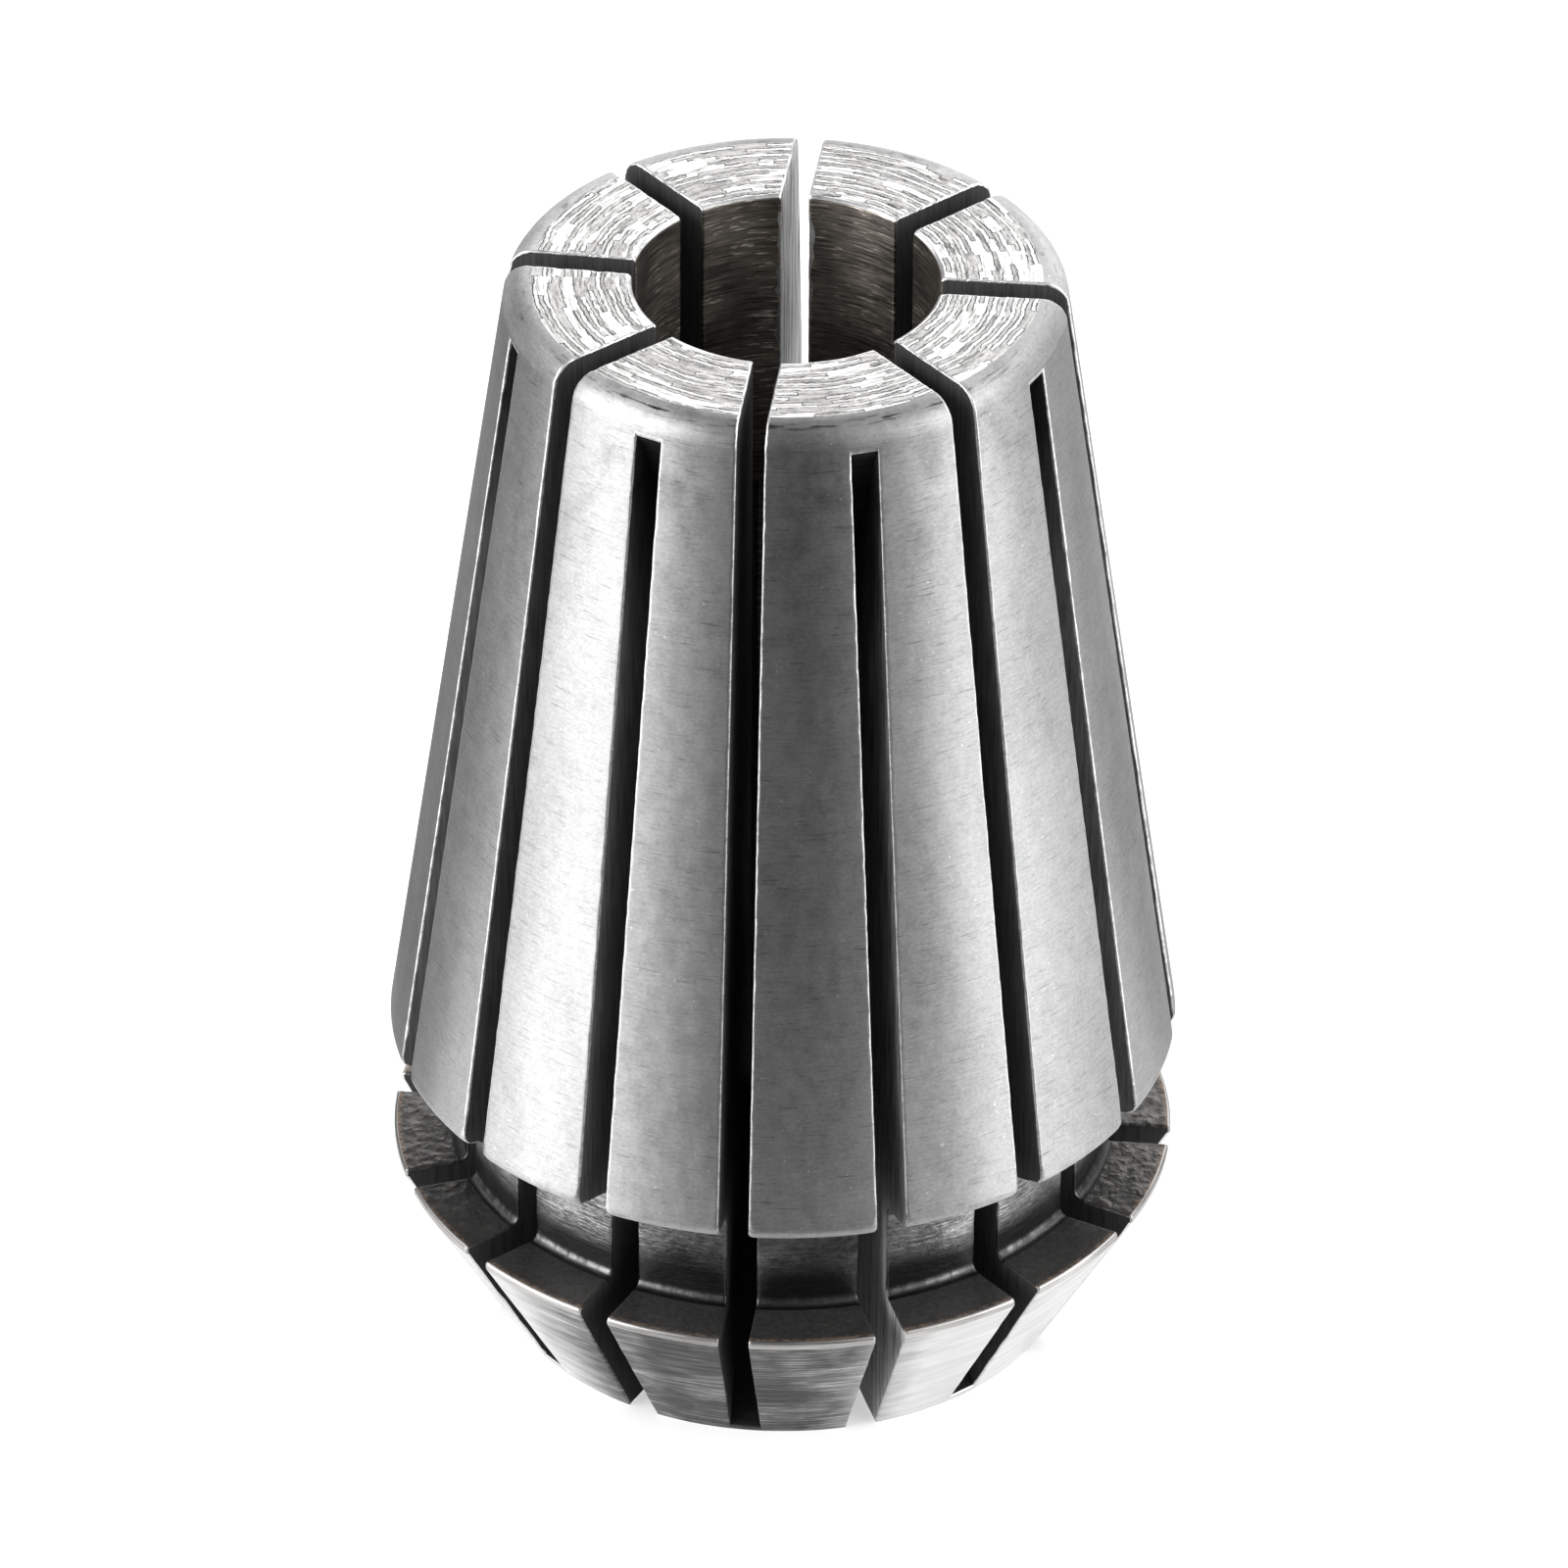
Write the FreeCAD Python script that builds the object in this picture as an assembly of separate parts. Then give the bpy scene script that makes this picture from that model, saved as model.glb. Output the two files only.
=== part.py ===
import FreeCAD, Part
import math
import os

# Spring collet for a tapered tool holder: one turned, ground and slotted steel
# sleeve. It stands on its nose face, with its axis on Z, and the front of the
# piece faces -Y. All lengths are in millimetres and all angles in degrees.

# Long taper, which the holder's seat squeezes
LENGTH = 31.5
HEAD_DIAMETER = 21.05
TAPER_HALF_ANGLE = 8.0
SMALL_END_ROUND = 0.7
HEAD_ROUND = 0.35

# Bore, which grips the tool's shank
BORE_DIAMETER = 8.0
BORE_CHAMFER = 0.1

# Nose ring, which the clamping nut pushes on and pulls out by
NOSE_FACE_DIAMETER = 15.4
NOSE_HALF_ANGLE = 30.0
RING_DIAMETER = 20.85
RING_LAND = 0.2
EDGE_BREAK = 0.08

# Groove between the nose ring and the head
NECK_DIAMETER = 17.4
NECK_LENGTH = 2.8
NECK_ROUND = 0.25
HEAD_UNDERSIDE_SLOPE = 18.0

# Slots, sawn alternately from the two ends by a disc that stays outside
SLOTS_PER_END = 8
SLOT_WIDTH = 0.76
FRONT_SLOT_ANGLE = -96.3
SAW_DIAMETER = 63.0
SAW_OVERCUT = 1.0
NOSE_WEB = 0.25
SMALL_END_WEB = 0.75
SAW_RUNOUT = 2.0


def radians(degrees):
    return math.radians(degrees)


def on_axis_plane(radius, height):
    """A point of the half section, in the plane through the axis and +X."""
    return FreeCAD.Vector(radius, 0, height)


def rounded_corner(before, corner, after, rounding):
    """Where the rounding of a corner starts, its middle and where it ends."""
    back = before - corner
    ahead = after - corner
    half_angle = back.getAngle(ahead) / 2
    wall_limit = min(back.Length, ahead.Length) / 2
    reach = min(rounding / math.tan(half_angle), wall_limit)
    back.normalize()
    ahead.normalize()
    inward = back + ahead
    inward.normalize()
    radius = reach * math.tan(half_angle)
    middle = corner + inward * (reach / math.cos(half_angle) - radius)
    return corner + back * reach, middle, corner + ahead * reach


def rounded_wire(corners):
    """A closed wire through corners of (radius, height, rounding radius)."""
    points = [on_axis_plane(radius, height) for radius, height, _ in corners]
    turns = []
    for i, (_, _, rounding) in enumerate(corners):
        if rounding:
            turns.append(rounded_corner(points[i - 1], points[i], points[(i + 1) % len(points)], rounding))
        else:
            turns.append((points[i], points[i], points[i]))
    edges = []
    for i, (start, middle, end) in enumerate(turns):
        if start != end:
            edges.append(Part.Arc(start, middle, end).toShape())
        edges.append(Part.makeLine(end, turns[(i + 1) % len(turns)][0]))
    return Part.Wire(edges)


# Heights and radii that follow from the driving sizes
bore_radius = BORE_DIAMETER / 2
face_radius = NOSE_FACE_DIAMETER / 2
ring_radius = RING_DIAMETER / 2
neck_radius = NECK_DIAMETER / 2
head_radius = HEAD_DIAMETER / 2
cone_top = (ring_radius - face_radius) / math.tan(radians(NOSE_HALF_ANGLE))
ring_top = cone_top + RING_LAND
neck_top = ring_top + NECK_LENGTH
head_foot = neck_top + (head_radius - neck_radius) * math.tan(radians(HEAD_UNDERSIDE_SLOPE))


def taper_radius(height):
    return head_radius - (height - head_foot) * math.tan(radians(TAPER_HALF_ANGLE))


def turned_blank():
    """The sleeve before it is slotted, as a turned section round the axis."""
    mouth_radius = bore_radius + BORE_CHAMFER
    section = rounded_wire([
        (mouth_radius, 0, 0),
        (face_radius, 0, EDGE_BREAK),
        (ring_radius, cone_top, 0),
        (ring_radius, ring_top, EDGE_BREAK),
        (neck_radius, ring_top, NECK_ROUND),
        (neck_radius, neck_top, NECK_ROUND),
        (head_radius, head_foot, HEAD_ROUND),
        (taper_radius(LENGTH), LENGTH, SMALL_END_ROUND),
        (mouth_radius, LENGTH, 0),
        (bore_radius, LENGTH - BORE_CHAMFER, 0),
        (bore_radius, BORE_CHAMFER, 0),
    ])
    return Part.Face(section).revolve(FreeCAD.Vector(), FreeCAD.Vector(0, 0, 1), 360)


def saw_cut(end_radius, end_height, way):
    """A slot's cutter in the XZ plane.

    The disc's rim leaves the solid at end_radius and end_height. The disc runs
    from there out of the end of the sleeve, up where way is 1 and down where
    it is -1, and its rim reaches SAW_OVERCUT past the wall into the bore.
    """
    saw_radius = SAW_DIAMETER / 2
    inner = bore_radius - SAW_OVERCUT
    outer = max(head_radius, ring_radius) + SAW_RUNOUT
    centre = inner + saw_radius

    def rim_drop(radius):
        return math.sqrt(saw_radius ** 2 - (centre - radius) ** 2)

    centre_height = end_height + way * rim_drop(end_radius)
    exit_height = LENGTH + SAW_RUNOUT if way > 0 else -SAW_RUNOUT
    middle = (inner + outer) / 2
    arc_start = on_axis_plane(outer, centre_height - way * rim_drop(outer))
    arc_middle = on_axis_plane(middle, centre_height - way * rim_drop(middle))
    arc_end = on_axis_plane(inner, centre_height)
    inner_exit = on_axis_plane(inner, exit_height)
    outer_exit = on_axis_plane(outer, exit_height)
    outline = Part.Wire([
        Part.Arc(arc_start, arc_middle, arc_end).toShape(),
        Part.makeLine(arc_end, inner_exit),
        Part.makeLine(inner_exit, outer_exit),
        Part.makeLine(outer_exit, arc_start),
    ])
    plate = Part.Face(outline).extrude(FreeCAD.Vector(0, SLOT_WIDTH, 0))
    plate.translate(FreeCAD.Vector(0, -SLOT_WIDTH / 2, 0))
    return plate


def slot_cutters():
    """Both rings of cutters, each half a pitch from the other."""
    pitch = 360 / SLOTS_PER_END
    web_height = LENGTH - SMALL_END_WEB
    small_end_slot = saw_cut(face_radius, NOSE_WEB, 1)
    nose_slot = saw_cut(taper_radius(web_height), web_height, -1)
    cutters = []
    for i in range(SLOTS_PER_END):
        for cutter, offset in ((small_end_slot, 0), (nose_slot, pitch / 2)):
            placed = cutter.copy()
            placed.rotate(FreeCAD.Vector(), FreeCAD.Vector(0, 0, 1), FRONT_SLOT_ANGLE + offset + i * pitch)
            cutters.append(placed)
    return cutters


def collet():
    return turned_blank().cut(slot_cutters())


os.makedirs("parts", exist_ok=True)
sleeve = collet().Solids[0]
sleeve.exportStep("parts/collet.step")
print("collet: valid", sleeve.isValid(), "volume", round(sleeve.Volume, 2), "mm3")
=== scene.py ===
import math
import bmesh
import bpy
import numpy as np
from mathutils import Matrix, Vector
from mathutils.geometry import delaunay_2d_cdt

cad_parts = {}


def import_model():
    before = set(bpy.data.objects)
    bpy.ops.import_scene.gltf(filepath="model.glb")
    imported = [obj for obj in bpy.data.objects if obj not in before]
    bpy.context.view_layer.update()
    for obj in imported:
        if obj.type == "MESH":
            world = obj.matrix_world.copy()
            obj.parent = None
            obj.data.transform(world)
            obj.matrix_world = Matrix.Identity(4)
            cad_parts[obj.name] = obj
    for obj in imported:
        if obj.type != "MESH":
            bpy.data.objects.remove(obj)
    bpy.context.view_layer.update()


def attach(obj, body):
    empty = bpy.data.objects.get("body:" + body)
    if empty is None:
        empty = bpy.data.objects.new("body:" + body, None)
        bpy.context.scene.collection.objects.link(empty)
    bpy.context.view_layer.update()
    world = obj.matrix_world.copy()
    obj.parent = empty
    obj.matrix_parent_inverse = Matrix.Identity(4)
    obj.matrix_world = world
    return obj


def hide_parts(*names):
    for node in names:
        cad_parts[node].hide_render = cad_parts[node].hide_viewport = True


# A slotted steel collet that stands on its nose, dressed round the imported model.
# Lengths here are in millimetres and angles in degrees, unless a name ends in _M
# for metres. The scene itself is in metres, with the collet's axis on Z.
MM = 0.001

# Turned section, as radii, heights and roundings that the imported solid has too
LENGTH = 31.5
BORE_RADIUS = 4.0
BORE_CHAMFER = 0.1
FACE_RADIUS = 7.7
NOSE_HALF_ANGLE = 30.0
RING_RADIUS = 10.425
RING_LAND = 0.2
EDGE_BREAK = 0.08
NECK_RADIUS = 8.7
NECK_LENGTH = 2.8
NECK_ROUND = 0.25
HEAD_RADIUS = 10.525
HEAD_UNDERSIDE_SLOPE = 18.0
HEAD_ROUND = 0.35
TAPER_HALF_ANGLE = 8.0
SMALL_END_ROUND = 0.7

# Sawn slots
SLOTS = 16
FIRST_SLOT_ANGLE = -96.3
SAW_RADIUS = 31.5
SAW_OVERCUT = 1.0
NOSE_WEB = 0.25
SMALL_END_WEB = 0.75
SLOT_WIDTH_TOP = 0.71
SLOT_WIDTH_FOOT = 0.81
SLOT_EDGE = 0.06
EDGE_UNEVENNESS = 0.3
SLOT_CLEAR = 0.15
CORNER_WEAR = 0.34
CORNER_REACH = 0.62
# How far each saw cut strays from its even angle, from the front slot on, and the shift of the back one
SLOT_STRAY = (-0.7, -0.2, -0.2, 0.0, 1.3, 0.0, 1.4, 0.0, -1.4, 0.0, -0.5, 0.0, -1.5, 1.0, 0.1, 0.3)
BACK_SLOT = 8
BACK_SLOT_SHIFT = 0.32
# Burrs on the back slot's edges at the bore: their reach, and the heights between which they stand
BURR = 0.12
BURRS_FROM = 24.0
BURRS_TO = 31.0

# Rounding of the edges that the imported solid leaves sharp
FINE_ROUND = 0.08

# How finely the surfaces are divided, and the spacing of the section's rows
EDGE_STEPS = 3
SECTOR_CELLS = 8
WEB_CELLS = 5
FLOOR_STEPS = 14
GUARD = 0.05
ARC_STEP = 9.0
COARSE_ROWS = 1.0
CONE_ROWS = 0.5
TAPER_ROWS = 0.3
NARROW_ROWS = 0.2
EDGE_ROWS = 0.1
SHARP_ANGLE = 40
# Straight runs that are longer than this can hold a slot's end, which is found by halving the run, and its
# floor's end by steps along it
LONG_RUN = 3.0
HALVINGS = 50
FLOOR_SEARCH_STEP = 0.001
# How the walls are filled: the part inside the outline, and how near two points are one
FILL_INSIDE = 1
FILL_TOLERANCE = 1e-7

# Tool marks on the small end's face: its radius and the rim over which they fade, the tool's passes, which
# stray and are of different depth from stretch to stretch, and the step down of a torn stretch
TURNED_FACE_RADIUS = 6.79
FACE_RIM = 0.03
PASS_PITCH = 0.25
ROWS_PER_PASS = 10
PASS_STRAY = 0.03
STRAY_CELLS = 14
STRAY_PITCH = 0.8
GROOVE_DEPTH = 0.012
SHALLOWEST_GROOVE = 0.4
STEP_DEPTH = 0.020
STEP_BIAS = 1.5
DASHES_ROUND = 40
SEED = 7

REGIONS = ("nose_face", "nose_cone", "land", "ring_top", "neck", "underside", "taper",
           "top_round", "top_face", "bore", "slot_edge", "nose_slot_wall", "top_slot_wall", "bare_wall",
           "painted_light_wall", "slot_floor")

# Slots whose walls look unlike their kind: the back slot's have lost some of their scale, and slot 1's
# have painted light at the nose end; the others look like their kind
WALLS = {BACK_SLOT: "bare_wall", 1: "painted_light_wall"}

# Regions whose slot edges look like the region itself, where the others' edges are bright
DULL_EDGES = ("nose_cone", "land", "ring_top", "neck", "underside", "bore")


def tan(degrees):
    return math.tan(math.radians(degrees))


CONE_TOP = (RING_RADIUS - FACE_RADIUS) / tan(NOSE_HALF_ANGLE)
RING_TOP = CONE_TOP + RING_LAND
NECK_TOP = RING_TOP + NECK_LENGTH
HEAD_FOOT = NECK_TOP + (HEAD_RADIUS - NECK_RADIUS) * tan(HEAD_UNDERSIDE_SLOPE)


def taper_radius(height):
    return HEAD_RADIUS - (height - HEAD_FOOT) * tan(TAPER_HALF_ANGLE)


# Parts of a noise's range that a finish spreads out, from nearly all of it to its middle
WIDE = (0.3, 0.7)
NARROW = (0.35, 0.65)
NARROWEST = (0.38, 0.62)

# Where the finishes change. A facing is the cosine of the angle round the axis from the front. A pair that
# is given no other meaning is the part of a noise's range over which the mark that it names grows.
# Ground taper: its scratches with their tilt in radians and how many there are a millimetre, its painted
# glints, which are specks of painted highlight, and its blotches, what each adds to the shade, the heights
# over which blotches grow, the facings over which they and the rim's chips grow, darker towards the front,
# and the painted light and shade that make the foot brighter and the small end darker
SCRATCHED = (0.655, 0.74)
SCRATCH_SHADE = -0.16
SCRATCH_TILT = (0.06, 0.05, 0)
SCRATCH_STRETCH = (1.4, 1.4, 32)
PAINTED_GLINTS = (0.74, 0.79)
PAINTED_GLINT_SHADE = 0.22
BLOTCHED = (0.5, 0.66)
BLOTCH_SHADE = -0.1
BLOTCH_HEIGHTS = (26.0, 29.5)
DARKER_FRONT = (0.45, 0.8)
FOOT_PAINTED_LIGHT = 1.07
END_PAINTED_SHADE = 0.93
# Small end's rounding: facings over which a painted reflection makes it brighter away from the front, and the
# chips round its edge
ROUND_PAINTED_REFLECTION = (0.0, 0.6)
CHIPPED = (0.52, 0.58)
SMUDGE_RADIUS = 6.98
SMUDGE_REACH = 0.16
# Small end's face: the torn rings' pitch, the fewest and the most stretches in one, the width of the dark
# line of painted shade round a stretch, the level above which one is torn in the even and in the odd rings,
# where the dark line is kept, and the hair scratches and how dark they are. The bright and grey stretches
# are partly painted light and shade of the tool's steps
TORN_PITCH = 0.12
TORN_STRETCHES = (14.4, 57.6)
TORN_LINE = 0.032
TORN_LEVELS = (0.8, 0.22)
LINE_KEPT = (0.34, 0.46)
HAIR = (0.56, 0.62)
HAIR_SHARE = 0.55
# Bore: heights over which its painted glints and its shine grow, its brightness below them, which is
# painted shade deeper in, the glints' lines, and the patches of the bore that have them
PAINTED_SHINE_HEIGHTS = (23.5, 26.5)
DEEP_PAINTED_SHADE = 0.35
BORE_PAINTED_GLINTS = (0.6, 0.68)
PAINTED_GLINT_PATCHES = (0.42, 0.6)
# Neck: heights over which its brushed band starts, its notched foot line of painted highlight, and the
# facings over which painted light makes it brighter, away from the front
BRUSHED_HEIGHTS = (RING_TOP + 0.7, RING_TOP + 1.5)
FOOT_HIGHLIGHT = RING_TOP + 0.16
FOOT_HIGHLIGHT_REACH = 0.12
NOTCHED = (0.42, 0.6)
NECK_PAINTED_SIDE_LIGHT = (0.96, 0.86)
PAINTED_SIDE_LIGHT_GAIN = 3.2
# Nose ring: the border between the scale in front and bare steel behind, along Y, and the rusty rim's radii
SCALE_BORDER = (-5.6, -3.6)
SCALE_METALLIC = 0.5
RUSTY_RADII = (RING_RADIUS - 0.22, RING_RADIUS - 0.12)
RUSTED = (0.35, 0.6)
# Nose cone: its front and left are darkened by scale and by painted shade, which stands for the shadowed
# floor that the metal mirrors there. The azimuth of that darkening's middle, how far it reaches round, how
# soft its ends are, where lines of it are worn and lit with painted highlight, how much brighter they are,
# and the patches and the shares that they take of that
SCALE_AND_SHADE_MIDDLE = -11.5
SCALE_AND_SHADE_REACH = 28.5
SCALE_AND_SHADE_FADE = 0.06
WORN_AND_LIT_LINES = (0.48, 0.66)
WORN_AND_LIT_GAIN = 4
WORN_AND_LIT_PATCHES = (0.4, 0.62)
PATCH_SHARES = (0.6, 1.7)
# Slot edges: where their burrs are bright
BURR_BRIGHT = (0.38, 0.56)
# Slot walls: heights over which they change from the nose end's shade to the middle's and on to the small
# end's, where the darker ends are painted shade, and a saw line's width as a share of its length
WALL_LOW = (RING_TOP, HEAD_FOOT + 1.0)
WALL_HIGH = (24.0, 29.0)
BARE_HIGH = (18.0, 23.0)
SAW_LINE_STRETCH = 0.06
# Sawn faces: shades at the nose, the middle and the small end, heights over which the last starts, roughness,
# metallic, specular level, saw lines a millimetre, their contrast and their depth. Darker nose and small
# ends, and the floor's near black, are painted shade; the painted light wall's lighter nose end is painted
# light
SAWN_FACES = {
    "nose_slot_wall": ((0.04, 0.12, 0.02), WALL_HIGH, 0.7, 0.0, 0.06, 9, 0.3, 0.01),
    "top_slot_wall": ((0.04, 0.07, 0.06), WALL_HIGH, 0.65, 0.0, 0.12, 9, 0.3, 0.01),
    "bare_wall": ((0.06, 0.08, 0.75), BARE_HIGH, 0.45, 1.0, 0.5, 4, 0.85, 0.1),
    "painted_light_wall": ((0.3, 0.12, 0.02), WALL_HIGH, 0.6, 0.0, 0.3, 6, 0.7, 0.04),
    "slot_floor": ((0.012, 0.012, 0.012), WALL_HIGH, 0.7, 0.0, 0.04, 9, 0.35, 0.01),
}

# The camera that fits the photograph
CAMERA_DISTANCE = 408.17
CAMERA_ELEVATION = 34.2458
CAMERA_ROLL = 0.2642
CAMERA_LENS = 353.885
SENSOR_WIDTH = 36.0
AIM_HEIGHT = 15.63
CLIP_START_M = 0.01

# Softboxes: name, azimuth from the front to the right, elevation, distance, width, height, radiance
SOFTBOXES = (
    ("left", -64, 14, 600, 440, 600, 6.0),
    ("left_fill", -34, 14, 300, 110, 300, 0.95),
    ("left_top", -110, 38, 320, 190, 120, 2.3),
    ("right", 68, 11, 600, 385, 600, 4.0),
    ("right_fill", 36, 14, 300, 110, 300, 0.85),
    ("right_high", 42, 58, 320, 120, 110, 1.8),
    ("right_top", 106, 38, 320, 200, 120, 3.4),
    ("back", 165, 27, 380, 360, 400, 1.35),
)

# Floor and surround
FLOOR_SIZE_M = 4.0
FLOOR_GREY = 0.75
FLOOR_LIFT = 0.5
WORLD_GREY = 0.21
MATT = 0.9

# Cards that only show in the metal, as a studio uses to keep its white off it: three on the floor and the
# camera's dark shape. Name, azimuths from the front to the right of both ends, steps between them, distance
# and height of the near or lower edge and of the other, and grey
CARDS = (
    ("front_card", -50, 50, 8, (19, 0.5), (330, 0.5), 0.02),
    ("left_card", -168, -98, 8, (20, 0.5), (150, 0.5), 0.25),
    ("right_card", 112, 168, 8, (20, 0.5), (150, 0.5), 0.45),
    ("camera_card", 1, 16, 1, (280, 0), (280, 260), 0.02),
)


class SawCut:
    """One kind of slot: its floor's arc and where that arc crosses the skin."""

    def __init__(self, way, end_radius, end_height):
        self.way = way
        self.centre = BORE_RADIUS - SAW_OVERCUT + SAW_RADIUS
        self.height = end_height + way * self.drop(end_radius)

    def drop(self, radius):
        return math.sqrt(SAW_RADIUS ** 2 - (self.centre - radius) ** 2)

    def floor(self, radius):
        """Height of the slot's floor at a radius."""
        return self.height - self.way * self.drop(radius)

    def crossing(self, start, end):
        """How far along the straight run from start to end the floor crosses it."""
        low, high = 0.0, 1.0
        inside = self.above(start)
        for _ in range(HALVINGS):
            middle = (low + high) / 2
            if self.above(start + (end - start) * middle) == inside:
                low = middle
            else:
                high = middle
        return low * np.linalg.norm(end - start)

    def above(self, point):
        return point[1] > self.floor(point[0])


TOP_CUT = SawCut(1, FACE_RADIUS, NOSE_WEB)
NOSE_CUT = SawCut(-1, taper_radius(LENGTH - SMALL_END_WEB), LENGTH - SMALL_END_WEB)
CUTS = {"top": TOP_CUT, "nose": NOSE_CUT}


def half_width(height):
    """Half the slot's width, which grows a little towards the nose."""
    share = height / LENGTH
    return (SLOT_WIDTH_FOOT + (SLOT_WIDTH_TOP - SLOT_WIDTH_FOOT) * share) / 2


def right_of(direction):
    return np.array((direction[1], -direction[0]))


def turned(vector, angle):
    cosine, sine = math.cos(angle), math.sin(angle)
    return np.array((cosine * vector[0] - sine * vector[1], sine * vector[0] + cosine * vector[1]))


def corner_points(before, corner, after, rounding):
    """Points round one corner of the section, with the outward normal at each."""
    ahead = (corner - before) / np.linalg.norm(corner - before)
    away = (after - corner) / np.linalg.norm(after - corner)
    first, last = right_of(ahead), right_of(away)
    if not rounding:
        return [(corner, (first + last) / (1 + first @ last))]
    turn = math.atan2(ahead[0] * away[1] - ahead[1] * away[0], ahead @ away)
    side = math.copysign(1, turn)
    start = corner - ahead * rounding * math.tan(abs(turn) / 2)
    centre = start - first * rounding * side
    steps = max(2, round(math.degrees(abs(turn)) / ARC_STEP))
    points = []
    for i in range(steps + 1):
        normal = turned(first, turn * i / steps)
        points.append((centre + normal * rounding * side, normal))
    return points


def run_stops(length, spacing, spans):
    """Distances along a straight run: even rows, a guard at each end, and the ends of spans kept clear."""
    rows = max(1, round(length / spacing))
    guards = [GUARD, length - GUARD] if length > 4 * GUARD else []
    stops = [length * i / rows for i in range(1, rows)]
    stops = guards + [s for s in stops if all(abs(s - g) > GUARD for g in guards)]
    stops = [s for s in stops
             if all(min(span) - s >= GUARD / 2 or s - max(span) >= GUARD / 2 for span in spans)]
    return sorted(stops + [end for span in spans for end in span])


class Section:
    """The closed half section, as points with normals, from the bore's nose end round."""

    def __init__(self):
        self.points = []
        self.normals = []
        self.regions = []
        self.marks = {}
        mouth = BORE_RADIUS + BORE_CHAMFER
        corners = (
            (mouth, 0, 0, "nose_face", COARSE_ROWS),
            (FACE_RADIUS, 0, EDGE_BREAK, "nose_cone", CONE_ROWS),
            (RING_RADIUS, CONE_TOP, FINE_ROUND, "land", EDGE_ROWS),
            (RING_RADIUS, RING_TOP, EDGE_BREAK, "ring_top", NARROW_ROWS),
            (NECK_RADIUS, RING_TOP, NECK_ROUND, "neck", NARROW_ROWS),
            (NECK_RADIUS, NECK_TOP, NECK_ROUND, "underside", TAPER_ROWS),
            (HEAD_RADIUS, HEAD_FOOT, HEAD_ROUND, "taper", TAPER_ROWS),
            (taper_radius(LENGTH), LENGTH, SMALL_END_ROUND, "top_face", PASS_PITCH / ROWS_PER_PASS),
            (mouth, LENGTH, FINE_ROUND, "slot_edge", EDGE_ROWS),
            (BORE_RADIUS, LENGTH - BORE_CHAMFER, FINE_ROUND, "bore", NARROW_ROWS),
            (BORE_RADIUS, BURRS_FROM, 0, "bore", COARSE_ROWS),
            (BORE_RADIUS, BORE_CHAMFER, 0, "bore", EDGE_ROWS),
        )
        arc_regions = {"top_face": "top_round", "ring_top": "land", "nose_cone": "land"}
        count = len(corners)
        arcs = []
        for i in range(count):
            before, here, after = (np.array(corners[(i + j) % count][:2], float) for j in (-1, 0, 1))
            arcs.append(corner_points(before, here, after, corners[i][2]))
        for i, (_, _, _, region, spacing) in enumerate(corners):
            for point, normal in arcs[i][:-1]:
                self.add(point, normal, arc_regions.get(region, region))
            self.add(*arcs[i][-1], region)
            self.add_run(arcs[i][-1][0], arcs[(i + 1) % count][0][0], region, spacing)
        self.points = np.array(self.points)
        self.normals = np.array(self.normals)
        self.unevenness = np.random.default_rng(SEED).uniform(-1, 1, (2 * SLOTS, len(self.points)))

    def edge(self, slot, row, side):
        """How far the slot's edge is rounded off at a row, on one side of the slot."""
        uneven = self.unevenness[2 * slot.number + (side > 0), row]
        if any(row == mark for marks in self.marks.values() for mark, _ in marks):
            return SLOT_EDGE
        if self.burred(slot, row):
            return SLOT_EDGE + BURR * max(0.0, uneven)
        return SLOT_EDGE * (1 + EDGE_UNEVENNESS * uneven)

    def burred(self, slot, row):
        """Whether the slot's edge is burred at a row, as the back slot's is at the bore."""
        height = self.points[row][1]
        return slot.number == BACK_SLOT and self.regions[row] == "bore" and BURRS_FROM < height < BURRS_TO

    def wear(self, row):
        """From 0 to 1, how worn a finger's lower corners are at a row."""
        away = np.linalg.norm(self.points[row] - (HEAD_RADIUS, HEAD_FOOT))
        return max(0.0, 1 - away / CORNER_REACH) ** 2

    def skin_edge(self, slot, row, side):
        """The edge's rounding on the skin, which is wider where the corner is worn."""
        return self.edge(slot, row, side) + CORNER_WEAR * self.wear(row)

    def edge_finish(self, slot, row):
        """The finish of the slot's edge from a row to the next."""
        if self.wear(row):
            return "taper"
        if self.burred(slot, row):
            return "slot_edge"
        region = self.regions[row]
        return region if region in DULL_EDGES else "slot_edge"

    def add(self, point, normal, region):
        self.points.append(point)
        self.normals.append(normal)
        self.regions.append(region)

    def add_run(self, start, end, region, spacing):
        """The rows between two corners, with a mark for the row where a slot's end starts."""
        length = np.linalg.norm(end - start)
        ahead = (end - start) / length
        crossings, spans = {}, {}
        for name, cut in CUTS.items():
            if length > LONG_RUN and cut.above(start) != cut.above(end):
                at = cut.crossing(start, end)
                towards_slot = 1 if cut.above(end) == (cut.way > 0) else -1
                crossings[name] = start + ahead * at
                spans[name] = (at - towards_slot * SLOT_EDGE, at + towards_slot * SLOT_CLEAR)
        for stop in run_stops(length, spacing, spans.values()):
            for name, span in spans.items():
                if stop == span[0]:
                    self.marks.setdefault(name, []).append((len(self.points), crossings[name]))
            self.add(start + ahead * stop, right_of(ahead), region)


def slot_range(section, name):
    """The section's rows that the slot cuts, and where its floor crosses the first and the last."""
    (first, first_cross), (second, second_cross) = section.marks[name]
    count = len(section.points)
    if name == "top":
        rows = list(range(first, second + 1))
        return rows, first_cross, second_cross
    rows = list(range(second, count)) + list(range(0, first + 1))
    return rows, second_cross, first_cross


def bezier(start, middle, end):
    """Points after the start on the curve that a corner's rounding follows."""
    points = []
    for i in range(1, EDGE_STEPS + 1):
        t = i / EDGE_STEPS
        points.append((1 - t) ** 2 * start + 2 * t * (1 - t) * middle + t ** 2 * end)
    return points


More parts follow.
